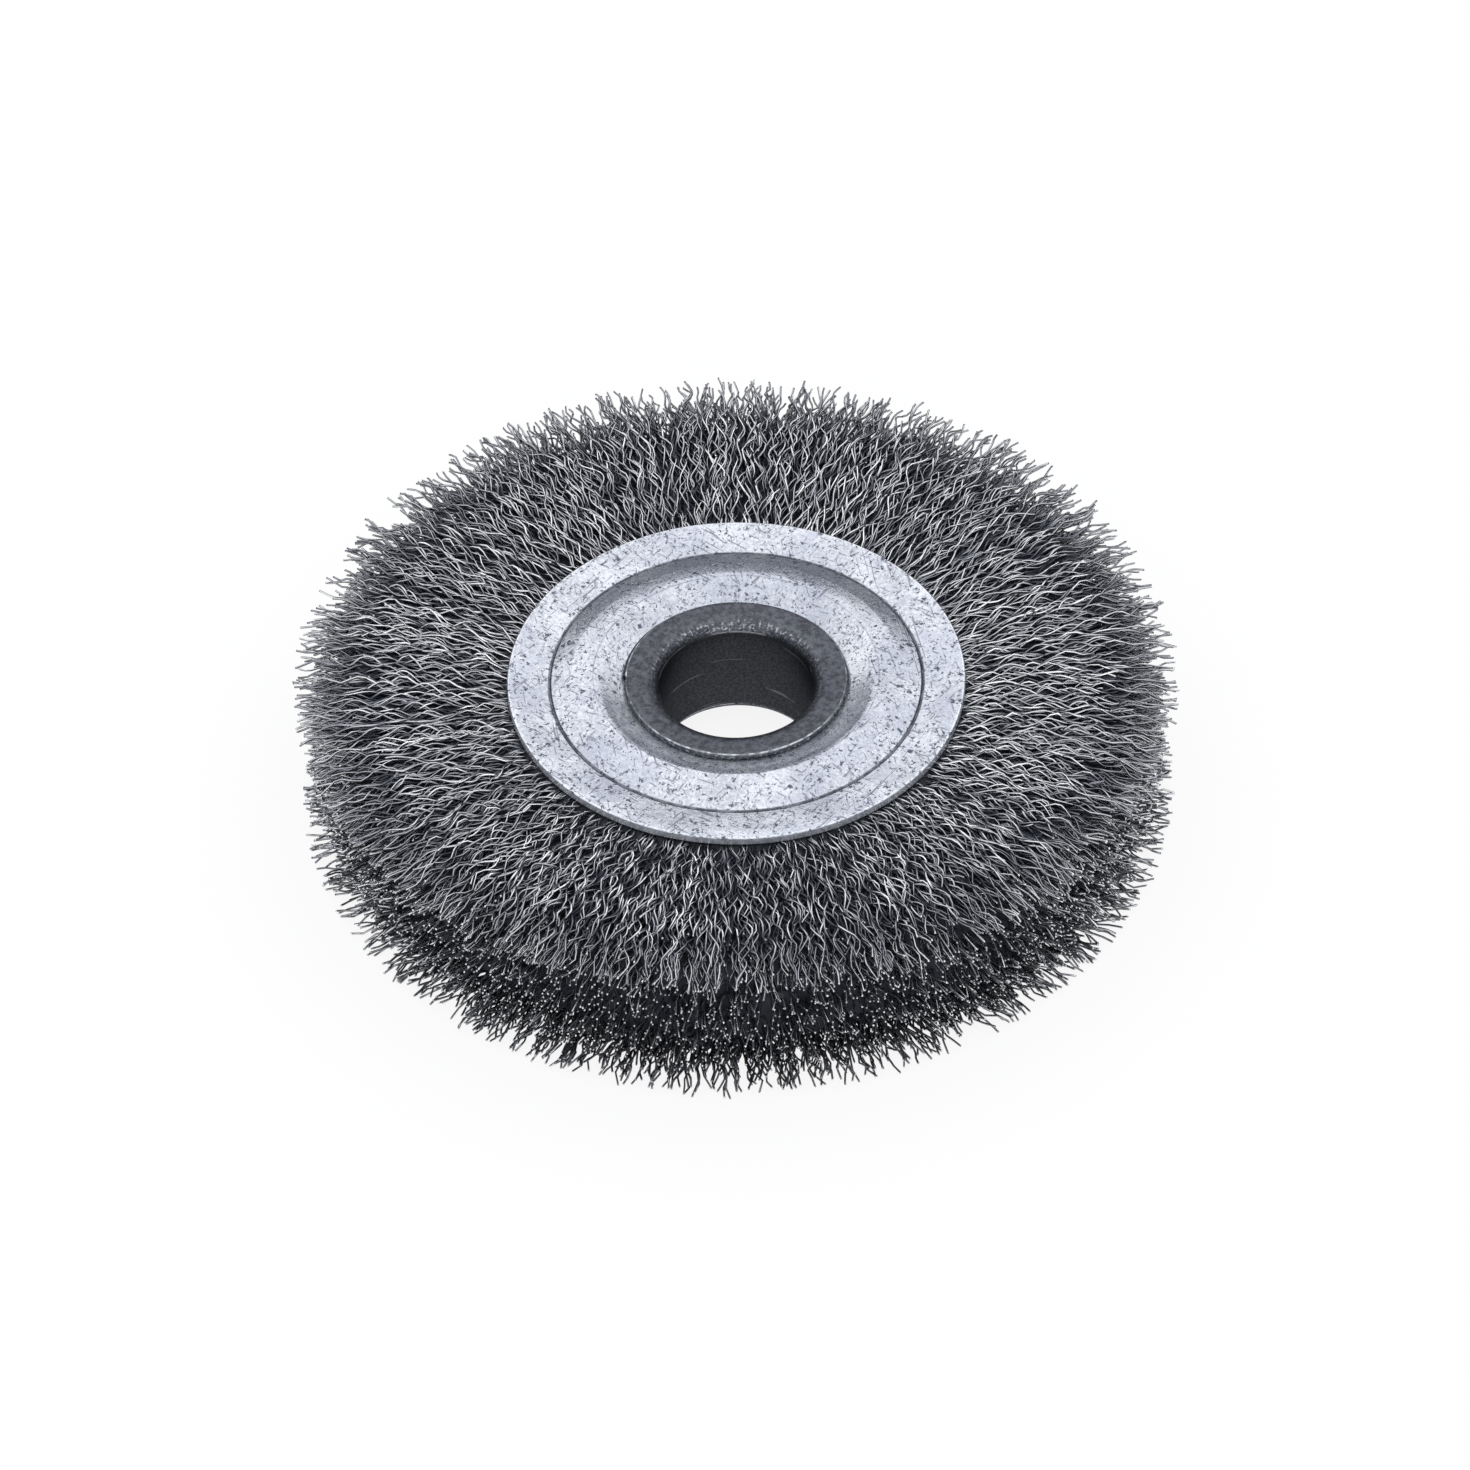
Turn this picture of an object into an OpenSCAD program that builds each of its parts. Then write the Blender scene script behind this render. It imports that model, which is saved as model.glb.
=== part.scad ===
// Crimped wire wheel brush, lying on its side.
// The origin is the centre of the arbor bore, half way through the wheel, and +Z runs along the bore.
// Crimped steel wires are folded over a retaining ring, two stamped face plates clamp the folded roots,
// and a sleeve through the middle is flared over both plates, which holds everything together.

/* [Wheel] */
// Diameter over the trimmed wire tips
trim_d = 125; // [110:1:150]
// Face width over the wire tips
face_w = 22; // [20:0.5:28]

/* [Sleeve] */
// Bore for the arbor
bore_d = 22.2; // [18:0.1:23]
// Wall of the tube
sleeve_wall = 1.4; // [1:0.1:1.6]
// Length over both flared lips
sleeve_len = 17.8; // [16:0.2:19]
// Outer diameter of a flared lip
lip_d = 32.4; // [31:0.2:33.4]
// Thickness of a lip at its flat
lip_t = 1; // [0.8:0.1:1.4]
// Radius of the bell mouth, from the bore to the lip
flare_r = 2.4; // [1.6:0.1:2.8]

/* [Face plates] */
// Outer diameter of a plate
plate_d = 66; // [62:0.5:72]
// Sheet thickness
sheet_t = 1.3; // [0.8:0.1:1.6]
// How far the flat seat reaches outside the lip
seat_rim = 0.1; // [0.1:0.1:1.2]
// Diameter of the raised bead over the folded wire roots
bead_d = 41; // [39:0.5:44]
// Height of the bead above the seat
bead_h = 2; // [1:0.1:2.6]
// Place of the bead's shoulder, as a share of the way from its crest to the pressed line
shoulder_share = 0.55; // [0.4:0.05:0.65]
// How far the shoulder lies below the crest
shoulder_drop = 0.4; // [0.2:0.1:0.6]
// Diameter of the pressed line that pinches the wires
pinch_d = 53.8; // [50:0.2:57]
// Height of the pressed line above the seat
pinch_h = 0.5; // [0:0.1:1]
// Height of the plate's outer edge above the seat
edge_h = 1.3; // [0.8:0.1:2]

/* [Retaining ring] */
// Diameter of the bar that the ring is rolled from
bar_d = 4; // [3:0.2:5]
// How far the middle of the bar lies outside the crest of the bead
ring_shift = 0.5; // [0:0.1:1]

/* [Wire bundles] */
// Number of wire bundles folded over the ring
bundles = 24; // [16:1:28]
// Strands that show across each bundle
strands = 4; // [2:1:5]
// Rows of strand ends across the face
tip_rows = 5; // [3:1:6]
// Length of one whole crimp wave
crimp_pitch = 6; // [5:0.5:9]
// Sideways throw of the crimp
crimp_throw = 0.7; // [0.2:0.1:1]
// Depth of the furrow between two strands, at the tips
furrow = 0.8; // [0.4:0.1:2]
// How far the longest strand ends stand out of the trimmed face
tip_len = 2.2; // [1:0.2:4]

/* [Fits] */
// Clearance between the tube and a plate's hole
hole_fit = 0.5; // [0.4:0.1:0.8]
// Clearance between the folded roots and the tube
tube_fit = 0.1; // [0.05:0.05:0.3]
// Angle left free between two bundles, in degrees
bundle_gap = 0.4; // [0.3:0.1:1]

/* [Hidden] */
bore_r = bore_d / 2;
tube_r = bore_r + sleeve_wall;
lip_r = lip_d / 2;
lip_z = sleeve_len / 2;
seat_z = lip_z - lip_t;
seat_r = lip_r + seat_rim;
hole_r = tube_r + hole_fit;
plate_r = plate_d / 2;
bead_r = bead_d / 2;
pinch_r = pinch_d / 2;
shoulder_r = bead_r + shoulder_share * (pinch_r - bead_r);
trim_r = trim_d / 2;
ring_r = bead_r + ring_shift;

// Fold radius under a lip, which stays inside the clearance of the plate's hole
lip_fold_r = 0.4;
// Rounding of a lip's outer edge, against the plate and on top
lip_edge_r = 0.25 * lip_t;
lip_crown_r = 0.65 * lip_t;
// Corner radii of the sheet at the seat, the bead, its shoulder and the pressed line
sheet_bends = [0.9, 2, 4, 0.4];
// Degrees that one facet of a rounded corner covers
corner_step = 10;

// The underside of the sheet at the seat, which is the roof over the folded roots
roof_z = seat_z - sheet_t;
// Half height of the wires where they leave the plates
mouth_z = roof_z + edge_h;
// The roots stop this far inside the plates' edge, and the strands start this deep in them
root_setback = 0.4;
strand_overlap = 1.5;
// The strands start this much narrower and lower than the root that they grow from
start_spread = 0.96;
// Inner face of the folded roots, and its rounding
root_r = tube_r + tube_fit;
root_fold_r = seat_r - root_r - sheet_bends[0];

bundle_angle = 360 / bundles - bundle_gap;
// Radius where the strands end and their tips begin
face_r = trim_r - tip_len;
// Half waves of the crimp between the plates and the tips
half_waves = max(2, round((face_r - plate_r) / (crimp_pitch / 2)));
// Depth of the furrows at the plates, as a share of their depth at the tips
mouth_furrow = 0.4;
// Unevenness of the strands' crests, as a share of the furrow
crest_scatter = 0.5;
// Unevenness of the tips: in length as a share of their length, and sideways as a share of their spacing
tip_scatter = 0.7;
tip_wander = 0.35;
// Height of the outer rows of tips, as a share of half the face width
tip_spread = 0.92;
// Numbers that mix up a seed and a count into three even scatters
scatter_waves = [[127.1, 311.7, 4375.85], [269.5, 183.3, 4637.21], [419.2, 371.9, 4541.53]];

function bundle_name(i) = str("wire_bundle_", i < 10 ? "0" : "", i);

function unit(v) = v / norm(v);
function reversed(list) = [for (i = [len(list) - 1:-1:0]) list[i]];
function polar(r, angle, z) = [r * cos(angle), r * sin(angle), z];
// Three values from 0 to 1 that look random and are the same on every build
function scatter(seed, n) = [
    for (w = scatter_waves)
        let (v = sin(seed * w[0] + n * w[1]) * w[2])
        v - floor(v)
];

// The arc that rounds corner b, between its neighbours a and c, to radius r
function corner_arc(a, b, c, r) =
    let (
        u = unit(a - b),
        v = unit(c - b),
        half = acos(max(-1, min(1, u * v))) / 2,
        centre = b + unit(u + v) * r / sin(half),
        from = b + u * r / tan(half) - centre,
        to = b + v * r / tan(half) - centre,
        start = atan2(from.y, from.x),
        turn = atan2(from.x * to.y - from.y * to.x, from * to),
        steps = max(1, ceil(abs(turn) / corner_step))
    )
    [for (i = [0:steps]) centre + r * [cos(start + turn * i / steps), sin(start + turn * i / steps)]];

// A closed outline whose corners, given as [point, radius], are rounded where the radius isn't zero
function rounded(corners) =
    let (n = len(corners))
    [for (i = [0:n - 1])
        each corners[i][1] == 0
            ? [corners[i][0]]
            : corner_arc(corners[(i + n - 1) % n][0], corners[i][0], corners[(i + 1) % n][0], corners[i][1])];

// The given corners, followed by their mirror images below the middle plane
function both_sides(corners) = concat(corners, [for (c = reversed(corners)) [[c[0].x, -c[0].y], c[1]]]);

// Corners of one face of the sheet from the seat outwards, where z is the height of the seat
function sheet_line(z) = [
    [[seat_r, z], sheet_bends[0]],
    [[bead_r, z + bead_h], sheet_bends[1]],
    [[shoulder_r, z + bead_h - shoulder_drop], sheet_bends[2]],
    [[pinch_r, z + pinch_h], sheet_bends[3]],
    [[plate_r, z + edge_h], 0],
];

// A tube with its ends rolled outwards: a bell mouth inside, a lip that grips the plate outside
module hub_sleeve() {
    half = [
        [[tube_r, seat_z], lip_fold_r],
        [[lip_r, seat_z], lip_edge_r],
        [[lip_r, lip_z], lip_crown_r],
        [[bore_r, lip_z], flare_r],
    ];
    color([0.24, 0.24, 0.26])
        rotate_extrude($fn = 96)
            polygon(rounded(both_sides(half)));
}

// A stamped disc: a flat seat, a raised bead that rolls over its shoulder to a pressed line, a sloping edge
module face_plate() {
    top = concat([[[hole_r, seat_z], 0]], sheet_line(seat_z));
    under = concat([[[hole_r, roof_z], 0]], sheet_line(roof_z));
    color([0.76, 0.79, 0.84])
        rotate_extrude($fn = 96)
            polygon(rounded(concat(top, reversed(under))));
}

module upper_face_plate() face_plate();
module lower_face_plate() mirror([0, 0, 1]) face_plate();

// A bar rolled into a hoop, which the wires are folded over
module retaining_ring() {
    color([0.42, 0.43, 0.45])
        rotate_extrude($fn = 96)
            translate([ring_r, 0])
                circle(d = bar_d, $fn = 48);
}

// The part of a bundle between the plates: wires packed tight against both and folded round the ring
module bundle_root() {
    roof = sheet_line(roof_z);
    edge_slope = (edge_h - pinch_h) / (plate_r - pinch_r);
    half = [
        [[root_r, roof_z], root_fold_r],
        for (i = [0:3]) roof[i],
        [[plate_r - root_setback, mouth_z - root_setback * edge_slope], 0],
    ];
    rotate([0, 0, -bundle_angle / 2])
        rotate_extrude(angle = bundle_angle, $fn = 96)
            difference() {
                polygon(rounded(both_sides(half)));
                translate([ring_r, 0])
                    circle(d = bar_d, $fn = 48);
            }
}

// Ring 0 of the strands lies inside the root, ring 1 at the plates' edge, and the last one at the tips.
// Radius of ring k
function strand_r(k) = k == 0
    ? plate_r - strand_overlap
    : plate_r + (face_r - plate_r) * (k - 1) / half_waves;
// Half height of the strands at ring k: they swell from the plates to the full face width
function strand_z(k) = k == 0
    ? mouth_z - furrow
    : mouth_z + (face_w / 2 - mouth_z) * sin(90 * (k - 1) / half_waves);
// Angle across the bundle at ring k
function strand_spread(k) = k == 0 ? start_spread * bundle_angle : bundle_angle;
// Sideways swing of the crimp at ring k, in degrees
function swing(k) = k < 2 ? 0 : (k % 2 == 0 ? 1 : -1) * atan(crimp_throw / strand_r(k));

// The free length of a bundle: a loft of furrowed sections that zigzags with the crimp,
// and ends in one tapered tip for each strand and row
module bundle_strands(seed) {
    last = half_waves + 1;
    cols = 2 * strands + 1;
    section = 2 * cols;
    // A section's points: the upper furrows and crests from one side to the other, then the lower ones back
    section_points = [
        for (k = [0:last], j = [0:section - 1])
            let (
                upper = j < cols,
                i = upper ? j : section - 1 - j,
                depth = furrow * (mouth_furrow + (1 - mouth_furrow) * k / last),
                sag = depth * (i % 2 == 0 ? 1 : crest_scatter * scatter(seed, j)[0]),
                angle = strand_spread(k) * (i / (cols - 1) - 0.5) + swing(k)
            )
            polar(strand_r(k), angle, (upper ? 1 : -1) * (strand_z(k) - sag))
    ];
    start_point = len(section_points);
    // Points inside the end face, where the tips of neighbouring rows meet
    grid_start = start_point + 1;
    grid_points = [
        for (row = [1:tip_rows - 1], c = [0:strands])
            polar(
                face_r,
                bundle_angle * (c / strands - 0.5) + swing(last),
                (strand_z(last) - furrow) * (1 - 2 * row / tip_rows)
            )
    ];
    tip_start = grid_start + len(grid_points);
    tip_points = [
        for (row = [0:tip_rows - 1], c = [0:strands - 1])
            let (
                s = scatter(seed, section + row * strands + c),
                across = (c + 0.5 + tip_wander * (s[1] - 0.5)) / strands,
                level = tip_spread * (1 - 2 * row / (tip_rows - 1)) + 2 * tip_wander * (s[2] - 0.5) / tip_rows
            )
            polar(
                trim_r - tip_scatter * tip_len * s[0],
                bundle_angle * (across - 0.5),
                strand_z(last) * level
            )
    ];
    // Corner of the end face at row line r and column line c
    function corner(r, c) =
        r == 0 ? last * section + 2 * c
        : r == tip_rows ? last * section + section - 1 - 2 * c
        : grid_start + (r - 1) * (strands + 1) + c;
    // The corners round the foot of one tip, with a crest between them in the outer rows
    function foot(r, c) = concat(
        [corner(r, c)],
        r == 0 ? [corner(0, c) + 1] : [],
        [corner(r, c + 1), corner(r + 1, c + 1)],
        r == tip_rows - 1 ? [corner(tip_rows, c + 1) + 1] : [],
        [corner(r + 1, c)]
    );
    // Side wall of the last stretch, where the end face has a corner at each row line
    function side(c) =
        let (
            near = (last - 1) * section,
            top = near + 2 * c,
            bottom = near + section - 1 - 2 * c
        )
        concat(
            [for (r = [0:tip_rows - 1]) [top, corner(r, c), corner(r + 1, c)]],
            [[top, corner(tip_rows, c), bottom]]
        );
    start_faces = [for (j = [0:section - 1]) [start_point, (j + 1) % section, j]];
    loft_faces = [
        for (k = [0:last - 1], j = [0:section - 1])
            let (
                at_side = j == cols - 1 || j == section - 1,
                a = k * section + j,
                b = k * section + (j + 1) % section
            )
            if (!(at_side && k == last - 1))
                each [[a, b, b + section], [a, b + section, a + section]]
    ];
    tip_faces = [
        for (r = [0:tip_rows - 1], c = [0:strands - 1])
            let (round_foot = foot(r, c), n = len(round_foot))
            for (i = [0:n - 1]) [tip_start + r * strands + c, round_foot[i], round_foot[(i + 1) % n]]
    ];
    side_faces = concat(side(0), [for (f = side(strands)) reversed(f)]);
    polyhedron(
        points = concat(section_points, [polar(strand_r(0), 0, 0)], grid_points, tip_points),
        faces = concat(start_faces, loft_faces, tip_faces, side_faces)
    );
}

// One bundle of crimped wires: its folded root and its free strands in one piece
module wire_bundle(i) {
    color([0.3, 0.31, 0.33])
        rotate([0, 0, 360 / bundles * (i - 1)])
            union() {
                bundle_root();
                bundle_strands(i);
            }
}

hub_sleeve();
upper_face_plate();
lower_face_plate();
retaining_ring();
for (i = [1:bundles])
    wire_bundle(i);
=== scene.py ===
# %% [markdown]
# # A crimped wire wheel brush
# The brush lies flat on a pale floor. Thousands of crimped steel wires are folded over a hidden ring. Two
# stamped, galvanised face plates clamp them, and a dark sleeve flared over both plates holds it all together.
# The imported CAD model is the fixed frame: every piece made here is laid in its millimetres, and then scaled to
# metres when it becomes a mesh.

import math

import bpy
import numpy as np
from mathutils import Matrix, Vector


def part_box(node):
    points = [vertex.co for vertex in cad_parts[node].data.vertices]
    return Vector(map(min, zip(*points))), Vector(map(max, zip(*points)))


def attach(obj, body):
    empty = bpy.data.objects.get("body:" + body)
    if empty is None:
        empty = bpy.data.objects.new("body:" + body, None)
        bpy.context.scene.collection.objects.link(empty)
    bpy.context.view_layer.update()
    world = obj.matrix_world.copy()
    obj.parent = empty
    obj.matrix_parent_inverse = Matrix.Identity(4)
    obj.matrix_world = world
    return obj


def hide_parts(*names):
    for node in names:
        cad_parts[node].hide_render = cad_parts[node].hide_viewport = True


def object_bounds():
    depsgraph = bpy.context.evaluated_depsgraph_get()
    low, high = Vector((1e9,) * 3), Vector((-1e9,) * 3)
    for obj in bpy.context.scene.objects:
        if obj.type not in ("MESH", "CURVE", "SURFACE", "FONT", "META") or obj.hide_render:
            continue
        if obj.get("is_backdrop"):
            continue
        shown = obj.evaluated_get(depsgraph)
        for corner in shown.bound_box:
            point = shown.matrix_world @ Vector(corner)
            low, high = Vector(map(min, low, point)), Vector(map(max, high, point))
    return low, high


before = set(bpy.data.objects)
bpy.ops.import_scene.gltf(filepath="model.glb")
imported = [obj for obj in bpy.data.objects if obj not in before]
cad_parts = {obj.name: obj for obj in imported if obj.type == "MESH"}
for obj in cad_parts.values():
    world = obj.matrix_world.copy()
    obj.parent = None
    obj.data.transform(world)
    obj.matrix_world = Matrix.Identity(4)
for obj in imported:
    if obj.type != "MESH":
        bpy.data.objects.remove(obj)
cad_box = [list(corner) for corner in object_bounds()]
MM = 0.001
print("CAD box in mm:", [[round(v / MM, 2) for v in corner] for corner in cad_box])

# %% [markdown]
# ## Sizes taken from the frame
# A piece made here has to lie where its CAD node lies, so its main sizes are read from the nodes' boxes and only
# the rest is written down. All of them are in millimetres, with z measured from the middle of the wheel.

# %% Main sizes
def top_corner(node):
    """The highest corner of a node's box, in millimetres."""
    return np.array(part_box(node)[1]) / MM


bundle_names = sorted(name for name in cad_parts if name.startswith("wire_bundle_"))
plate_r, _, plate_top = top_corner("upper_face_plate")
lip_r, _, lip_top = top_corner("hub_sleeve")
ring_outer_r, _, bar_r = top_corner("retaining_ring")
ring_r = ring_outer_r - bar_r
trim_r = 62.5
half_face = 11.0
bore_r, tube_r, hole_r = 11.1, 12.5, 13.0
seat_top, sheet = lip_top - 1.0, 1.3
print(len(bundle_names), "bundles; plate radius", round(plate_r, 2), "lip radius", round(lip_r, 2),
      "ring radius", round(ring_r, 2), "seat at", round(seat_top, 2))

# %% [markdown]
# ## The camera
# The photograph is taken from well above, and from far enough off that the wheel's near and far halves are
# almost alike. Circles of known size on the wheel show up as ellipses. Their flatness gives the camera's
# elevation, the drift of their centres its distance, and the slight tilt of their long axes its roll. A long lens
# then gives the wheel its size in the frame.

# %% Camera
elevation, roll, distance, lens = math.radians(44.3), math.radians(1.2), 0.823, 139.0
aim_right, aim_up = -0.3 * MM, -2.0 * MM

forward = Vector((0, math.cos(elevation), -math.sin(elevation)))
level_up = Vector((0, math.sin(elevation), math.cos(elevation)))
right = Vector((1, 0, 0)) * math.cos(roll) - level_up * math.sin(roll)
up = Vector((1, 0, 0)) * math.sin(roll) + level_up * math.cos(roll)
aim = right * aim_right + up * aim_up

camera = bpy.data.objects.new("camera", bpy.data.cameras.new("camera"))
bpy.context.collection.objects.link(camera)
camera.data.lens = lens
camera.data.clip_start, camera.data.clip_end = 0.01, 20
turned_to = Matrix((right, up, -forward)).transposed().to_4x4()
camera.matrix_world = Matrix.Translation(aim - forward * distance) @ turned_to
bpy.context.scene.camera = camera
print("camera at", [round(v, 3) for v in camera.matrix_world.translation])

# %% [markdown]
# ## From arrays to meshes
# Every piece is a grid of points worked out at once by numpy. One helper puts such arrays into a mesh. It also
# turns the faces outwards: the volume that they enclose, summed as a third of each face's height over the origin
# times its area, comes out negative when they point inwards.

# %% Mesh helper
def signed_volume(points, faces):
    """Sum over the triangles of a x (b x c) / 6, which is positive when the faces point outwards."""
    fan = [faces[:, [0, k, k + 1]] for k in range(1, faces.shape[1] - 1)]
    a, b, c = (points[np.concatenate(fan)[:, k]] for k in range(3))
    return float(np.einsum("ij,ij->i", a, np.cross(b, c)).sum() / 6)


def make_piece(name, parts):
    """Makes an object at the origin from closed parts, each given as points in millimetres and arrays of faces."""
    all_points, rows, smooth = [], [], []
    start = 0
    for points, face_arrays in parts:
        outwards = 1 if sum(signed_volume(points, faces) for faces in face_arrays) > 0 else -1
        for faces in face_arrays:
            rows += (faces[:, ::outwards] + start).tolist()
            smooth.append(np.full(len(faces), faces.shape[1] == 4))
        all_points.append(points)
        start += len(points)
    mesh = bpy.data.meshes.new(name)
    mesh.from_pydata(np.concatenate(all_points) * MM, [], rows)
    mesh.polygons.foreach_set("use_smooth", np.concatenate(smooth))
    mesh.update()
    piece = bpy.data.objects.new(name, mesh)
    bpy.context.collection.objects.link(piece)
    return piece


def triangle_count(mesh):
    return sum(len(polygon.vertices) - 2 for polygon in mesh.polygons)


# %% [markdown]
# ## Turned outlines
# Plates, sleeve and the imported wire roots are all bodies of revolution. Such a body is one closed outline in the
# plane of radius and height, carried round the axis. The outline is written as corners with a rounding each, as
# a toolmaker would dimension it, and the arcs come from the tangent points of each corner.

# %% Outline and lathe helpers
def rounded_outline(corners, arc_steps=6, longest=0.8):
    """Closed outline through (radius, height, rounding) corners.

    An arc of radius q touches both sides of a corner whose half angle is h at q / tan(h) from the corner, and its
    centre lies at q / sin(h) along the bisector. Straight spans are then cut to pieces of at most the given length.
    """
    points, count = [], len(corners)
    for i in range(count):
        before, corner, after = (np.array(corners[(i + k) % count][:2], float) for k in (-1, 0, 1))
        rounding = corners[i][2]
        if rounding == 0:
            points.append(corner[None])
            continue
        u, v = ((p - corner) / np.linalg.norm(p - corner) for p in (before, after))
        half = math.acos(max(-1.0, min(1.0, float(u @ v)))) / 2
        centre = corner + (u + v) / np.linalg.norm(u + v) * rounding / math.sin(half)
        start, end = (corner + w * rounding / math.tan(half) - centre for w in (u, v))
        turn = math.atan2(start[0] * end[1] - start[1] * end[0], start @ end)
        angles = math.atan2(start[1], start[0]) + np.linspace(0, turn, arc_steps + 1)
        points.append(centre + rounding * np.stack([np.cos(angles), np.sin(angles)], axis=1))
    outline = np.concatenate(points + [points[0][:1]])
    along = np.concatenate([[0], np.cumsum(np.linalg.norm(np.diff(outline, axis=0), axis=1))])
    even = np.linspace(0, along[-1], int(along[-1] / longest) + 1)
    stations = np.unique(np.concatenate([along, even]).round(4))[:-1]
    return np.stack([np.interp(stations, along, outline[:, k]) for k in (0, 1)], axis=1)


def mirrored(corners):
    """The corners, followed by their images below the middle plane in reverse order."""
    return corners + [(r, -z, rounding) for r, z, rounding in reversed(corners)]


def lathe(outline, angles, closed=True):
    """Carries an outline round the axis: x = r cos(a), y = r sin(a), z unchanged, for every angle a."""
    r, z = outline[:, 0], outline[:, 1]
    points = np.stack([
        np.cos(angles)[:, None] * r,
        np.sin(angles)[:, None] * r,
        np.broadcast_to(z, (len(angles), len(z))),
    ], axis=2)
    ring, step = len(outline), len(angles)
    i, j = np.meshgrid(np.arange(step if closed else step - 1), np.arange(ring), indexing="ij")
    i2, j2 = (i + 1) % step, (j + 1) % ring
    quads = np.stack([i * ring + j, i * ring + j2, i2 * ring + j2, i2 * ring + j], axis=2).reshape(-1, 4)
    return points, quads


# %% [markdown]
# ## The face plates
# Each plate is stamped from galvanised sheet: a flat seat under the sleeve's lip, a raised bead over the folded
# wires, a pressed line that pinches them and a gently rising outer edge. A press leaves small marks: the sheet
# isn't quite flat, its outer cut edge is rounded on the punch side, and the pressed line is a narrow groove.

# %% Face plates
pinch_r = 26.9


def sheet_face(z):
    """Corners of one face of the sheet, from the sleeve outwards, where z is the height of the seat."""
    return [
        (hole_r, z, 0.15),
        (16.3, z, 2.0),
        (20.5, z + 2.0, 3.0),
        (23.9, z + 1.4, 4.0),
        (pinch_r, z + 0.5, 0.35),
        (plate_r, z + 1.3, 0.22),
    ]


def sheet_waves(r, angle, seed):
    """Height of the sheet's unevenness: a few long waves round the plate that grow with the radius."""
    rng = np.random.default_rng(seed)
    reach = (r - hole_r) / (plate_r - hole_r)
    waves = [a * np.sin(n * angle + p) for n, a, p in
             zip((2, 3, 5, 9, 14), (0.05, 0.05, 0.025, 0.012, 0.008), rng.uniform(0, 2 * np.pi, 5))]
    return sum(waves) * reach


def face_plate(name, node, side, seed):
    """One plate; side is 1 for the upper one and -1 for the lower one, its mirror image."""
    outer_face = sheet_face(seat_top)
    outer_face[4:5] = [(pinch_r - 0.3, seat_top + 0.63, 0.15), (pinch_r, seat_top + 0.42, 0.12),
                       (pinch_r + 0.3, seat_top + 0.54, 0.15)]
    outline = rounded_outline(outer_face + sheet_face(seat_top - sheet)[::-1], arc_steps=3, longest=2.0)
    angles = np.linspace(0, 2 * np.pi, 180, endpoint=False)
    points, quads = lathe(outline, angles)
    points[..., 2] += sheet_waves(outline[None, :, 0], angles[:, None], seed)
    points[..., 2] *= side
    plate = make_piece(name, [(points.reshape(-1, 3), [quads])])
    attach(plate, "root")
    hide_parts(node)
    return plate


plates = [
    face_plate("stamped_plate_upper", "upper_face_plate", 1, 3),
    face_plate("stamped_plate_lower", "lower_face_plate", -1, 8),
]
print("plates:", [triangle_count(plate.data) for plate in plates], "triangles")

# %% [markdown]
# ## The flared sleeve
# A tube is pushed through both plates and its ends are rolled outwards over them. Rolling stretches the metal, so
# the lip ends in a thin rounded edge, and the inside opens in a bell mouth. The tool leaves the lip a little
# uneven, which shows in how its edge catches the light.

# %% Flared sleeve
sleeve_corners = mirrored([
    (tube_r, seat_top, 0.4),
    (lip_r, seat_top, 0.25),
    (lip_r, lip_top, 0.7),
    (bore_r, lip_top, 2.4),
])
sleeve_outline = rounded_outline(sleeve_corners, arc_steps=6, longest=2.5)
sleeve_angles = np.linspace(0, 2 * np.pi, 180, endpoint=False)
sleeve_points, sleeve_quads = lathe(sleeve_outline, sleeve_angles)

# The lip wanders by a few hundredths of a millimetre. From one place on, its upper edge rolled out a little
# further, and it ends there in a nick
nick_angle = math.radians(178)
lip_share = np.clip((sleeve_outline[:, 0] - tube_r) / (lip_r - tube_r), 0, 1) * (sleeve_outline[:, 1] > 0)
lip_wander = 0.04 * np.sin(3 * sleeve_angles + 0.6) + 0.03 * np.sin(7 * sleeve_angles + 2.1)
roll_out = np.clip((sleeve_angles - math.radians(110)) / (nick_angle - math.radians(110)), 0, 1)
lip_wander += np.where(sleeve_angles < nick_angle, 0.28 * roll_out, -0.04)
sleeve_points[..., :2] *= (1 + lip_share[None] * lip_wander[:, None] / lip_r)[..., None]

sleeve = make_piece("flared_sleeve", [(sleeve_points.reshape(-1, 3), [sleeve_quads])])
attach(sleeve, "root")
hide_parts("hub_sleeve")
print("sleeve:", triangle_count(sleeve.data), "triangles")

# %% [markdown]
# ## Crimped wires
# The fill of such a brush is loose wire, rolled between toothed wheels so that every wire is a flat wave, and
# laid at random so that the waves keep each other apart. The wires come out of the narrow mouth between the
# plates, swell to the full face width and end ragged.
#
# Hair particles could grow them, but a brush maker's numbers are clearer as arrays: one row for each wire, one
# column for each station along it. Wires that lie next to each other come off the crimping rolls together and
# cling together in tufts. A tuft is a cell of a jittered grid on the unrolled rim. Its wires share most of their
# wave, reach about equally far and lean towards its middle, which leaves the notches between the tufts.

# %% Tufts
mouth_r, mouth_half, rim_half = 31.8, 7.4, 11.0
bundle_angle = 2 * np.pi / len(bundle_names)
tufts_across, tufts_up = 6, 8


def lay_tufts(rng):
    """Middles of one bundle's tufts on the unrolled rim, and the phase and extra reach that the wires share."""
    column, row = np.meshgrid(np.arange(tufts_across), np.arange(tufts_up), indexing="ij")
    jitter = rng.uniform(0.1, 0.9, (2, *column.shape))
    across = ((column + jitter[0]) / tufts_across - 0.5) * bundle_angle * trim_r
    up = ((row + jitter[1]) / tufts_up * 2 - 1) * rim_half
    middles = np.stack([across.ravel(), up.ravel()], axis=1)
    return middles, rng.uniform(0, 2 * np.pi, across.size), rng.normal(0, 0.5, across.size)


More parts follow.
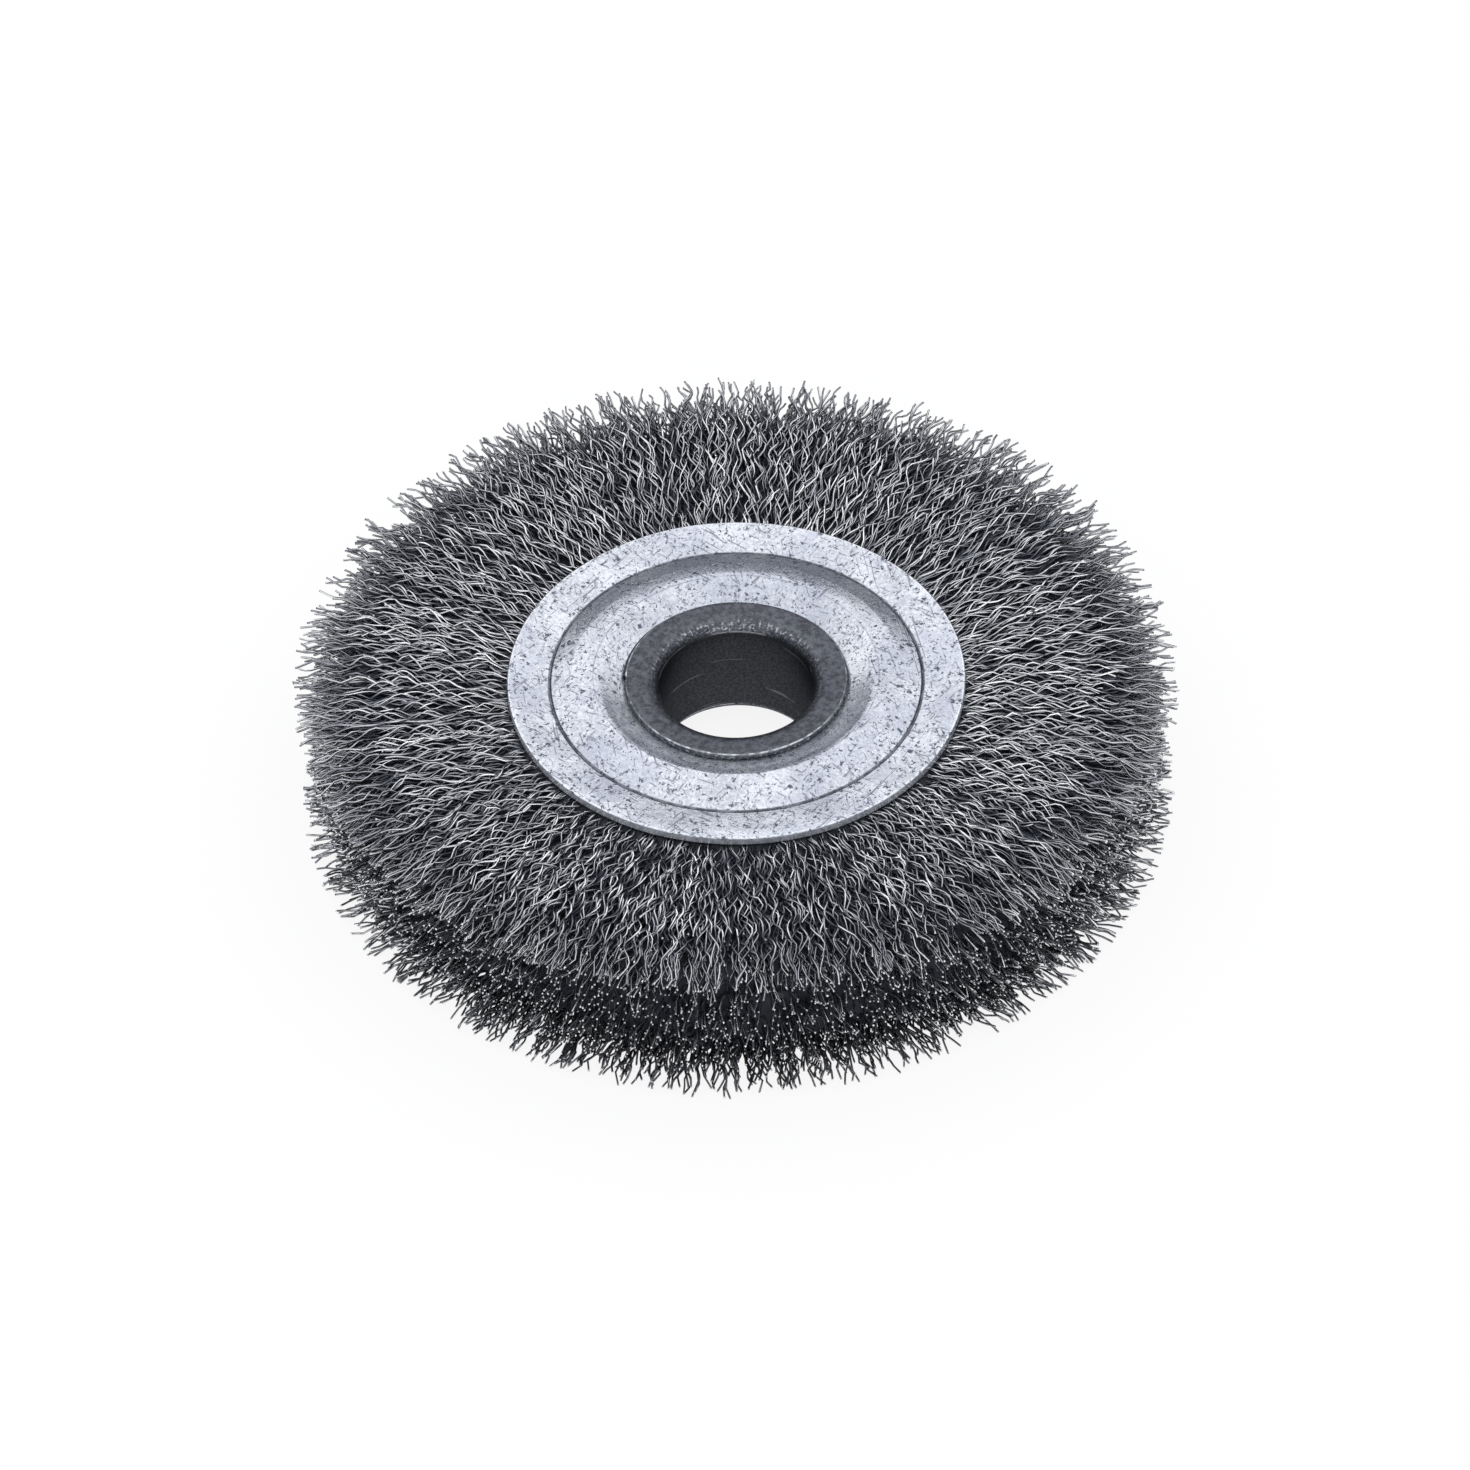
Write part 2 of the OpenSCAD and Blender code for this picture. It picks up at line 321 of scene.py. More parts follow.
# %% [markdown]
# A wire's centre line is a run from its start to its own tip with a wave laid over it. The wave is a sine across
# the run. Its plane is turned at random, so a wire shows as a row of short strokes, where it comes up, and dips
# under its neighbours in between.

# %% Centre lines of the wires
wave_length, wave_throw = 6.2, 0.62
full_reach, reach_limit, height_limit, fringe = 62.0, 63.8, 11.1, 10.0


def lay_wires(rng, tufts, across, level, start_r, stations):
    """Centre lines in millimetres, as an array of wires by stations by (x, y, z), round the bundle's own middle.

    The level, from -1 to 1, times a quarter sine of the way out gives the height. The wave is
    throw * sin(2 pi r / length + phase), turned by the lean out of the plane of the wheel, and the pull towards
    the tuft's middle grows with the fourth power of the way out. The last stretch is short, for the cut end.
    """
    middles, tuft_phase, tuft_reach = tufts
    count = len(across)

    def spread(size):
        return size * rng.standard_normal(count)[:, None]

    place = np.stack([across * trim_r, level * rim_half], axis=1)
    tuft = np.argmin(np.linalg.norm(place[:, None] - middles, axis=2), axis=1)
    edge = np.clip((np.abs(level) - 0.7) / 0.2, 0, 1)
    loose = rng.random(count) < 0.35
    trimmed = full_reach + 0.4 * tuft_reach[tuft] - np.abs(rng.normal(0, 1.5, count))
    long = rng.random(count) < 0.28 + 0.25 * tuft_reach[tuft] + np.where(level < 0, 0.12, 0)
    depth = np.where(level > 0, fringe, 0.5 * fringe)
    frayed = reach_limit - np.where(long, 1.6 * rng.random(count), 2.6 + depth * rng.random(count))
    tip_r = np.minimum(trimmed * (1 - edge) + frayed * edge, reach_limit)

    way = (tip_r - 0.2 - start_r)[:, None] * np.linspace(0, 1, stations - 1)
    r = start_r[:, None] + np.concatenate([way, way[:, -1:] + 0.2], axis=1)
    out = (r - mouth_r) / (trim_r - mouth_r)
    phase = (tuft_phase[tuft] + np.where(loose, rng.uniform(0, 2 * np.pi, count), 0))[:, None] + spread(0.7)
    turn = 2 * np.pi * r / (wave_length * np.clip(1 + spread(0.10), 0.7, 1.4)) + phase
    throw = wave_throw * np.clip(1 + spread(0.3), 0.4, 1.7) * np.clip(0.35 + 5 * out, 0, 1)
    throw = throw * (1 - 0.4 * np.clip(5 * out - 4, 0, 1))
    lean = spread(0.55)
    bow = spread(0.4) * np.sin(0.37 * turn + phase)
    dip = 0.35 * np.sin(0.83 * turn + 2.7 * phase)
    sideways = throw * np.sin(turn) * np.cos(lean) + bow + spread(0.35) * out ** 2
    upward = throw * np.sin(turn + 0.8) * np.sin(lean) + spread(0.3) * out + dip

    pull = 0.55 * (1 - 0.7 * loose[:, None]) * np.clip(out, 0, 1) ** 4
    sideways = sideways + pull * (middles[tuft, 0] - place[:, 0])[:, None]
    upward = upward + pull * (middles[tuft, 1] - place[:, 1])[:, None]
    ceiling = np.minimum(mouth_half + 0.2 + 0.9 * np.clip(r - plate_r, 0, None), height_limit)
    z = np.clip(level[:, None] * face_half(r) + upward, -ceiling, ceiling)
    angle = across[:, None] + sideways / r
    return np.stack([r * np.cos(angle), r * np.sin(angle), z], axis=2)


def face_half(r):
    """Half the width of the fill: it swells from the mouth to the rim along a quarter of a sine."""
    out = np.clip(1.15 * (r - mouth_r) / (trim_r - mouth_r), 0, 1)
    return mouth_half + (rim_half - mouth_half) * np.sin(np.pi / 2 * out)


# %% [markdown]
# A wire is a thin tube round its centre line. Three sides with smooth shading are enough for a wire that is two
# pixels wide, and they keep each of ten thousand wires to a few dozen faces. The sides are set square to the
# run: the first direction is run x up, the second is that x run, and a corner lies at
# radius * (first * cos(a) + second * sin(a)) from the centre line.

# %% Wire tubes
wire_radius, sides = 0.175, 3


def wire_tubes(lines, turn):
    """Points of a tube round each centre line, its faces, and which of them belong to the cut end."""
    count, stations, _ = lines.shape
    run = np.gradient(lines, axis=1)
    run /= np.linalg.norm(run, axis=2, keepdims=True)
    first = np.cross(run, [0, 0, 1])
    first /= np.linalg.norm(first, axis=2, keepdims=True)
    second = np.cross(first, run)
    a = (turn[:, None] + 2 * np.pi * np.arange(sides) / sides)[:, None, :, None]
    points = lines[:, :, None] + wire_radius * (first[:, :, None] * np.cos(a) + second[:, :, None] * np.sin(a))

    w, s, k = np.meshgrid(np.arange(count), np.arange(stations - 1), np.arange(sides), indexing="ij")
    k2 = (k + 1) % sides

    def corner(station, side):
        return (w * stations + station) * sides + side

    quads = np.stack([corner(s, k), corner(s + 1, k), corner(s + 1, k2), corner(s, k2)], axis=3).reshape(-1, 4)
    start = (np.arange(count) * stations * sides)[:, None] + np.arange(sides)
    end = start + (stations - 1) * sides
    cut_end = np.concatenate([s.ravel() == stations - 2, np.repeat([False, True], count)])
    return points.reshape(-1, 3), [quads, np.concatenate([start, end[:, ::-1]])], cut_end


# %% [markdown]
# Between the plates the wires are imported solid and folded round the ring, and further out they still fill the
# middle of the brush. Nobody sees single wires there, so each bundle has one solid block in the shape of its CAD
# root, a C round the ring with a slit where its two legs meet, which goes on outwards under the visible wires.

# %% Packed middle
def packed_block(rng):
    """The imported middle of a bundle: points and faces of a wedge, closed by a flat face at each end."""
    roof = seat_top - sheet - 0.05
    between = [(tube_r + 0.1, roof, 3.0)] + sheet_face(roof)[1:5] + [(plate_r - 0.8, roof + 1.1, 0)]
    beyond = [(r, 0.80 * float(face_half(r)), 0) for r in (36, 40, 44, 48, 52)]
    beyond += [(54.5, 8.2, 0), (56.4, 6.3, 0), (57.2, 3.5, 0)]
    upper = between + beyond
    bend = np.radians(np.linspace(4, 356, 15))
    eye = [(ring_r + (bar_r + 0.05) * math.cos(a), (bar_r + 0.05) * math.sin(a), 0) for a in bend]
    slit = [(57.4, 0.05, 0), *eye, (57.4, -0.05, 0)]
    lower = [(r, -z, q) for r, z, q in reversed(upper)]
    outline = rounded_outline(upper + slit + lower, arc_steps=3, longest=5.0)
    steps = 9
    angles = np.linspace(-0.497, 0.497, steps) * bundle_angle
    points, quads = lathe(outline, angles, closed=False)

    # Beyond the plates the block is lumpy, so that it doesn't look turned where it shows between the wires
    lump = np.clip((outline[:, 0] - plate_r - 1) / 6, 0, 1) * rng.uniform(-0.5, 0.3, (steps, len(outline)))
    points[..., 2] += np.where(np.abs(outline[:, 1]) > 1, lump * np.sign(outline[:, 1]), 0)
    points[..., :2] *= np.where(outline[:, 0] > 55, 1 + 0.02 * lump, 1)[..., None]
    first = np.arange(len(outline))[None, ::-1]
    last = np.arange(len(outline))[None] + (steps - 1) * len(outline)
    return points.reshape(-1, 3), [quads, first, last]


# %% [markdown]
# Each bundle now gets its wires. The skin, above and below, starts with wires that are seen along their whole
# length. Further out the same wires have a longer circle to cover, so others come up between them. The core's
# wires only come out of the imported middle near the rim.
#
# Three attributes go with the mesh for the material: each wire's own tone, the bright cut end, and the depth, in
# millimetres, at which a point lies below the surface of the fill or behind the rim, which the material turns into
# painted shade.

# %% Wire bundles
wire_groups = [
    # wires, lowest and highest level, first and last start radius, stations along the wire
    (42, 0.90, 1.0, mouth_r, mouth_r, 28),
    (70, 0.82, 1.0, 36.0, 50.0, 21),
    (26, -1.0, -0.88, mouth_r, mouth_r, 23),
    (54, -1.0, -0.82, 40.0, 51.0, 14),
    (284, -0.82, 0.82, 51.0, 52.5, 8),
]


def skin_depth(points):
    """How far a point lies inside the fill: the smaller of its depths below the face and behind the rim."""
    r = np.hypot(points[:, 0], points[:, 1])
    return np.minimum(face_half(r) + 0.35 - np.abs(points[:, 2]), 0.11 * np.maximum(trim_r - r, 0))


def bundle_piece(index):
    """One bundle: its packed middle, its skin wires and its core wires in one mesh."""
    rng = np.random.default_rng(4100 + index)
    tufts = lay_tufts(rng)
    block = packed_block(rng)
    parts = [block]
    tones = [np.full(len(block[0]), 0.3)]
    ends = [np.zeros(sum(len(faces) for faces in block[1]), bool)]
    for count, lowest_level, highest_level, first_start, last_start, stations in wire_groups:
        across = (np.arange(count) + rng.uniform(0, 1, count)) / count - 0.5
        level = rng.uniform(lowest_level, highest_level, count)
        start_r = rng.uniform(first_start, last_start, count)
        lines = lay_wires(rng, tufts, across * bundle_angle, level, start_r, stations)
        points, faces, cut_end = wire_tubes(lines, rng.uniform(0, 2 * np.pi, count))
        parts.append((points, faces))
        ends.append(cut_end)
        tones.append(np.repeat(rng.random(count), stations * sides))

    middle = index * bundle_angle
    turned = np.array([[math.cos(middle), math.sin(middle), 0], [-math.sin(middle), math.cos(middle), 0], [0, 0, 1]])
    depth = skin_depth(np.concatenate([points for points, _ in parts]))
    # The packed block counts a millimetre deeper than it lies, so the wire material paints it darker: painted shade.
    depth[:len(block[0])] += 1.0
    piece = make_piece(f"crimped_wires_{index + 1:02d}", [(points @ turned, faces) for points, faces in parts])
    values = {"wire_tone": ("POINT", np.concatenate(tones)), "fill_depth": ("POINT", depth),
              "cut_end": ("FACE", np.concatenate(ends))}
    for name, (domain, numbers) in values.items():
        attribute = piece.data.attributes.new(name, "FLOAT", domain)
        attribute.data.foreach_set("value", numbers.astype(np.float32))
    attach(piece, "root")
    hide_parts(bundle_names[index])
    return piece


wire_pieces = [bundle_piece(index) for index in range(len(bundle_names))]
wire_triangles = sum(triangle_count(piece.data) for piece in wire_pieces)
print(len(wire_pieces) * sum(group[0] for group in wire_groups), "wires,", wire_triangles, "triangles")

# %% [markdown]
# ## Node helpers
# A material is a small network. Two helpers keep it readable: one adds a node with its settings and inputs, the
# other adds a Math node. An effect that several finishes use is a node group, a network with named inputs and
# outputs that is built once.

# %% Node helpers
def add(tree, kind, inputs=None, **settings):
    """Adds a node; inputs maps a socket's name or number to a value or to another node's output."""
    made = tree.nodes.new(kind)
    for key, value in settings.items():
        setattr(made, key, value)
    for key, value in (inputs or {}).items():
        if isinstance(value, bpy.types.NodeSocket):
            tree.links.new(value, made.inputs[key])
        else:
            made.inputs[key].default_value = value
    return made


def maths(tree, operation, *values, clamp=False):
    """One Math node's result."""
    return add(tree, "ShaderNodeMath", dict(enumerate(values)), operation=operation, use_clamp=clamp).outputs[0]


def smooth_step(tree, value, low, high):
    """0 below low, 1 above high and a smooth turn between; low may be above high to turn it round."""
    return add(tree, "ShaderNodeMapRange", {"Value": value, "From Min": low, "From Max": high},
               interpolation_type="SMOOTHSTEP").outputs["Result"]


def mix(tree, share, first, second):
    """Colour that goes from the first to the second with the share."""
    node = add(tree, "ShaderNodeMix", data_type="RGBA")
    for socket, value in ((node.inputs[0], share), (node.inputs[6], first), (node.inputs[7], second)):
        if isinstance(value, bpy.types.NodeSocket):
            tree.links.new(value, socket)
        else:
            socket.default_value = value
    return node.outputs[2]


def effect(name, inputs, outputs):
    """A new node group with float or vector sockets; returns it with its input and output nodes."""
    group = bpy.data.node_groups.new(name, "ShaderNodeTree")
    for label, default in inputs.items():
        kind = "NodeSocketVector" if default is None else "NodeSocketFloat"
        socket = group.interface.new_socket(label, in_out="INPUT", socket_type=kind)
        if default is not None:
            socket.default_value = default
    for label in outputs:
        group.interface.new_socket(label, in_out="OUTPUT", socket_type="NodeSocketFloat")
    return group, group.nodes.new("NodeGroupInput"), group.nodes.new("NodeGroupOutput")


def use(tree, group, inputs):
    """Places a group in a material with its own values."""
    made = tree.nodes.new("ShaderNodeGroup")
    made.node_tree = group
    for key, value in inputs.items():
        if isinstance(value, bpy.types.NodeSocket):
            tree.links.new(value, made.inputs[key])
        else:
            made.inputs[key].default_value = value
    return made.outputs


def finish_material(name):
    """A material with a Principled shader, and its Object coordinates in millimetres."""
    material = bpy.data.materials.new(name)
    material.use_nodes = True
    tree = material.node_tree
    shader = tree.nodes["Principled BSDF"]
    place = add(tree, "ShaderNodeTexCoord").outputs["Object"]
    in_mm = add(tree, "ShaderNodeVectorMath", {0: place, 1: (1000, 1000, 1000)}, operation="MULTIPLY").outputs[0]
    return material, tree, shader, in_mm


def feed(tree, shader, links):
    for name, socket in links.items():
        tree.links.new(socket, shader.inputs[name])


# %% [markdown]
# ## Effects shared by the metals
# Pits are small dark specks where the zinc has gone dull: the distance to the nearest of many scattered points,
# cut off at a radius that itself wanders. Scratches are fine lines: noise stretched a hundredfold along one
# direction and cut off at its crests. Both masks come with the height that they take from the surface.

# %% Pits
pits, given, result = effect("metal pits", {"Place": None, "Per mm": 1.0, "Size": 0.2, "Cover": 0.5}, ["Mask"])
cells = add(pits, "ShaderNodeTexVoronoi", {"Vector": given.outputs["Place"], "Scale": given.outputs["Per mm"]})
field = add(pits, "ShaderNodeTexNoise", {"Vector": given.outputs["Place"], "Scale": 0.35, "Detail": 3.0})
chance = add(pits, "ShaderNodeSeparateColor", {0: cells.outputs["Color"]})
reach = maths(pits, "MULTIPLY", given.outputs["Size"], maths(pits, "POWER", chance.outputs[1], 1.3))
inside = smooth_step(pits, cells.outputs["Distance"], reach, maths(pits, "MULTIPLY", reach, 0.4))
kept = maths(pits, "LESS_THAN", chance.outputs[0], maths(pits, "MULTIPLY", given.outputs["Cover"],
                                                      smooth_step(pits, field.outputs[0], 0.30, 0.60)))
pits.links.new(maths(pits, "MULTIPLY", inside, kept), result.inputs["Mask"])

# %% Scratches
scratches, given, result = effect(
    "metal scratches", {"Place": None, "Turn": 0.0, "Per mm": 2.0, "Stretch": 0.03, "Cut": 0.66}, ["Mask"])
turned = add(scratches, "ShaderNodeVectorRotate", {"Vector": given.outputs["Place"], "Angle": given.outputs["Turn"]},
             rotation_type="Z_AXIS")
wobble = add(scratches, "ShaderNodeTexNoise", {"Vector": turned.outputs[0], "Scale": 0.12, "Detail": 1.0})
bent = add(scratches, "ShaderNodeVectorMath", {0: turned.outputs[0], 1: wobble.outputs["Color"]}, operation="ADD")
squeeze = add(scratches, "ShaderNodeCombineXYZ", {0: given.outputs["Stretch"], 1: 1.0, 2: 1.0})
drawn = add(scratches, "ShaderNodeVectorMath", {0: bent.outputs[0], 1: squeeze.outputs[0]}, operation="MULTIPLY")
lines = add(scratches, "ShaderNodeTexNoise",
            {"Vector": drawn.outputs[0], "Scale": given.outputs["Per mm"], "Detail": 1.0})
mask = smooth_step(scratches, lines.outputs[0], given.outputs["Cut"], maths(scratches, "ADD", given.outputs["Cut"], 0.05))
scratches.links.new(mask, result.inputs["Mask"])

# %% [markdown]
# A ring band marks the part of a turned piece within a given distance of a given radius, broken up by noise. It
# puts the painted shade into the pressed line, the dark cut on the plates' edge and the bright wear and painted
# highlight on the lip.

# %% Ring band
ring_band, given, result = effect(
    "ring band", {"Place": None, "Radius": 10.0, "Half width": 0.3, "Break up": 0.5, "Per mm": 0.8}, ["Mask"])
xyz = add(ring_band, "ShaderNodeSeparateXYZ", {0: given.outputs["Place"]})
square = maths(ring_band, "ADD", maths(ring_band, "POWER", xyz.outputs[0], 2.0),
               maths(ring_band, "POWER", xyz.outputs[1], 2.0))
off = maths(ring_band, "ABSOLUTE", maths(ring_band, "SUBTRACT", maths(ring_band, "SQRT", square),
                                         given.outputs["Radius"]))
rough = add(ring_band, "ShaderNodeTexNoise",
            {"Vector": given.outputs["Place"], "Scale": given.outputs["Per mm"], "Detail": 4.0})
near = smooth_step(ring_band, off, given.outputs["Half width"], maths(ring_band, "MULTIPLY",
                                                                     given.outputs["Half width"], 0.4))
whole = maths(ring_band, "SUBTRACT", 1.0, given.outputs["Break up"])
patchy = maths(ring_band, "ADD", whole, maths(ring_band, "MULTIPLY", given.outputs["Break up"],
                                              smooth_step(ring_band, rough.outputs[0], 0.40, 0.60)))
ring_band.links.new(maths(ring_band, "MULTIPLY", near, patchy), result.inputs["Mask"])
print("effects:", [group.name for group in (pits, scratches, ring_band)])

# %% [markdown]
# ## Galvanised sheet
# Hot zinc freezes on the steel in a soft blotchy grey with a cool tint. The press and years of handling leave
# dark specks, small dents and fine scratches in every direction. Painted shade darkens the pressed line, the
# bead's crest and the foot of the sleeve's lip, and the cut edge, which has no zinc, is dark.

# %% Zinc on the plates
zinc, tree, shader, place = finish_material("galvanised sheet")
broad = add(tree, "ShaderNodeTexNoise", {"Vector": place, "Scale": 0.12, "Detail": 2.0}).outputs[0]
grain = add(tree, "ShaderNodeTexNoise", {"Vector": place, "Scale": 1.8, "Detail": 4.0, "Roughness": 0.75}).outputs[0]
grit = add(tree, "ShaderNodeTexNoise", {"Vector": place, "Scale": 2.6, "Detail": 1.0}).outputs[0]
blotch = maths(tree, "ADD", maths(tree, "MULTIPLY", broad, 0.35), maths(tree, "MULTIPLY", grain, 0.65))

ragged = add(tree, "ShaderNodeTexNoise", {"Vector": place, "Scale": 2.2, "Detail": 1.0}).outputs["Color"]
ragged = add(tree, "ShaderNodeVectorMath", {0: ragged, 1: (0.5, 0.5, 0.5)}, operation="SUBTRACT").outputs[0]
ragged = add(tree, "ShaderNodeVectorMath", {0: ragged, 1: (1.1, 1.1, 1.1), 2: place},
             operation="MULTIPLY_ADD").outputs[0]
small_pits = use(tree, pits, {"Place": ragged, "Per mm": 1.3, "Size": 0.55, "Cover": 1.4})["Mask"]
large_pits = use(tree, pits, {"Place": ragged, "Per mm": 0.7, "Size": 0.42, "Cover": 0.7})["Mask"]
tiny_pits = use(tree, pits, {"Place": ragged, "Per mm": 2.0, "Size": 0.55, "Cover": 0.8})["Mask"]
specks = maths(tree, "MAXIMUM", tiny_pits, maths(tree, "MAXIMUM", small_pits, large_pits))
line_a = use(tree, scratches, {"Place": place, "Turn": 0.6, "Per mm": 2.5, "Stretch": 0.12, "Cut": 0.65})["Mask"]
line_b = use(tree, scratches, {"Place": place, "Turn": 2.2, "Per mm": 2.3, "Stretch": 0.12, "Cut": 0.66})["Mask"]
line_c = use(tree, scratches, {"Place": place, "Turn": 1.4, "Per mm": 2.6, "Stretch": 0.04, "Cut": 0.67})["Mask"]
scored = maths(tree, "MAXIMUM", line_a, maths(tree, "MAXIMUM", line_b, line_c))
pressed_line_shade = use(tree, ring_band, {"Place": place, "Radius": pinch_r, "Half width": 0.34, "Break up": 0.2})["Mask"]
crest = use(tree, ring_band, {"Place": place, "Radius": 20.6, "Half width": 0.14, "Break up": 0.6})["Mask"]
painted_lip_shadow = use(tree, ring_band, {"Place": place, "Radius": lip_r + 0.1, "Half width": 0.3, "Break up": 0.2})["Mask"]
rim_cut = use(tree, ring_band, {"Place": place, "Radius": 33.05, "Half width": 0.10, "Break up": 0.3})["Mask"]
burr = use(tree, ring_band, {"Place": place, "Radius": 32.75, "Half width": 0.14, "Break up": 0.7})["Mask"]

colour = mix(tree, smooth_step(tree, blotch, 0.40, 0.60), (0.44, 0.46, 0.51, 1), (0.67, 0.695, 0.74, 1))
patch = add(tree, "ShaderNodeTexNoise", {"Vector": place, "Scale": 0.08, "Detail": 4.0, "Roughness": 0.7}).outputs[0]
colour = mix(tree, maths(tree, "MULTIPLY", smooth_step(tree, patch, 0.46, 0.60), 0.4), colour, (0.34, 0.37, 0.46, 1))
colour = mix(tree, maths(tree, "MULTIPLY", smooth_step(tree, grit, 0.52, 0.64), 0.35), colour, (0.28, 0.30, 0.36, 1))
colour = mix(tree, maths(tree, "MULTIPLY", burr, 0.6), colour, (0.86, 0.88, 0.90, 1))
colour = mix(tree, maths(tree, "MULTIPLY", scored, 0.75), colour, (0.15, 0.16, 0.20, 1))
colour = mix(tree, maths(tree, "MULTIPLY", specks, 0.95), colour, (0.07, 0.08, 0.11, 1))
# A thin dark line along the bead's crest: painted shade.
colour = mix(tree, maths(tree, "MULTIPLY", crest, 0.6), colour, (0.14, 0.15, 0.18, 1))
# A dark ring just outside the sleeve's lip: painted shadow of the lip.
colour = mix(tree, maths(tree, "MULTIPLY", painted_lip_shadow, 0.4), colour, (0.10, 0.10, 0.12, 1))
# The pressed line is darkened: painted shade in the groove.
colour = mix(tree, maths(tree, "MULTIPLY", pressed_line_shade, 0.95), colour, (0.05, 0.055, 0.07, 1))
colour = mix(tree, maths(tree, "MULTIPLY", rim_cut, 0.9), colour, (0.40, 0.42, 0.45, 1))
rough = maths(tree, "ADD", 0.08, maths(tree, "MULTIPLY", grain, 0.18))
rough = maths(tree, "ADD", rough, maths(tree, "MULTIPLY", specks, 0.25), clamp=True)
height = maths(tree, "SUBTRACT", maths(tree, "MULTIPLY", grain, 0.5), maths(tree, "MULTIPLY", specks, 0.5))
height = maths(tree, "SUBTRACT", height, maths(tree, "MULTIPLY", scored, 0.3))
relief = add(tree, "ShaderNodeBump", {"Height": height, "Strength": 0.4, "Distance": 0.0001}).outputs[0]
dust = use(tree, ring_band, {"Place": place, "Radius": 17.4, "Half width": 3.0, "Break up": 0.4})["Mask"]
bare = maths(tree, "SUBTRACT", 0.9, maths(tree, "MAXIMUM", maths(tree, "MULTIPLY", rim_cut, 0.7),
                                          maths(tree, "MULTIPLY", dust, 0.35)))
feed(tree, shader, {"Base Color": colour, "Roughness": rough, "Normal": relief, "Metallic": bare})
for plate in plates:
    plate.data.materials.append(zinc)

# %% [markdown]
# ## Dark sleeve
# The sleeve is bare steel with a dark rolled skin. Handling wears the lip's edge bright, with a painted highlight on it
# too, the flaring tool leaves upright burnish marks in the mouth, brightened as painted glints, the bore is darkened
# with painted shade, and arbors have scored faint rings in the bore.

# %% Dark skin on the sleeve
dark_skin, tree, shader, place = finish_material("dark rolled steel")
xyz = add(tree, "ShaderNodeSeparateXYZ", {0: place})
turn = maths(tree, "ARCTAN2", xyz.outputs[1], xyz.outputs[0])
side_up = maths(tree, "ABSOLUTE", xyz.outputs[2])
grain = add(tree, "ShaderNodeTexNoise", {"Vector": place, "Scale": 1.3, "Detail": 6.0, "Roughness": 0.65}).outputs[0]
cloud = add(tree, "ShaderNodeTexNoise", {"Vector": place, "Scale": 0.2, "Detail": 2.0}).outputs[0]
lip_wear_and_highlight = use(tree, ring_band, {"Place": place, "Radius": lip_r - 0.32, "Half width": 0.14, "Break up": 0.75})["Mask"]
round_place = add(tree, "ShaderNodeCombineXYZ", {0: maths(tree, "MULTIPLY", turn, 11.0), 1: 0.0,
                                                 2: maths(tree, "MULTIPLY", xyz.outputs[2], 1.5)}).outputs[0]
streak = add(tree, "ShaderNodeTexNoise", {"Vector": round_place, "Scale": 2.4, "Detail": 3.0}).outputs[0]
in_mouth = maths(tree, "MULTIPLY", smooth_step(tree, side_up, 6.9, 7.4), smooth_step(tree, side_up, 8.85, 8.3))
mouth_streaks_and_glints = maths(tree, "MULTIPLY", smooth_step(tree, streak, 0.50, 0.66), in_mouth)
worn_corner = maths(tree, "MULTIPLY", smooth_step(tree, maths(tree, "ABSOLUTE", maths(tree, "SUBTRACT", side_up, 7.25)),
                                                  0.14, 0.05), smooth_step(tree, cloud, 0.44, 0.52))
to_nick = add(tree, "ShaderNodeVectorMath", {0: place, 1: (-lip_r - 0.2, 0.45, lip_top - 0.4)}, operation="DISTANCE")
nick = smooth_step(tree, to_nick.outputs["Value"], 0.75, 0.45)
ring_place = add(tree, "ShaderNodeCombineXYZ", {0: maths(tree, "MULTIPLY", turn, 0.5), 1: 0.0,
                                                2: xyz.outputs[2]}).outputs[0]
hoops = add(tree, "ShaderNodeTexNoise", {"Vector": ring_place, "Scale": 1.4, "Detail": 2.0}).outputs[0]
in_bore = smooth_step(tree, side_up, 7.6, 6.6)
scored = maths(tree, "MULTIPLY", smooth_step(tree, hoops, 0.655, 0.70), in_bore)
bore_grain = maths(tree, "MULTIPLY", smooth_step(tree, streak, 0.42, 0.62), in_bore)
specks = use(tree, pits, {"Place": place, "Per mm": 1.6, "Size": 0.4, "Cover": 0.4})["Mask"]

colour = mix(tree, smooth_step(tree, grain, 0.35, 0.65), (0.062, 0.066, 0.078, 1), (0.145, 0.153, 0.175, 1))
colour = mix(tree, maths(tree, "MULTIPLY", cloud, 0.3), colour, (0.06, 0.062, 0.07, 1))
# The bore is darkened: painted shade inside the sleeve.
colour = mix(tree, maths(tree, "MULTIPLY", in_bore, 0.8), colour, (0.025, 0.026, 0.029, 1))
colour = mix(tree, maths(tree, "MULTIPLY", bore_grain, 0.3), colour, (0.13, 0.135, 0.145, 1))
# Bright upright burnish marks in the mouth, brightened as painted glints.
colour = mix(tree, maths(tree, "MULTIPLY", mouth_streaks_and_glints, 0.55), colour, (0.60, 0.61, 0.64, 1))
colour = mix(tree, maths(tree, "MULTIPLY", worn_corner, 0.7), colour, (0.62, 0.63, 0.66, 1))
colour = mix(tree, maths(tree, "MULTIPLY", scored, 0.35), colour, (0.30, 0.31, 0.34, 1))
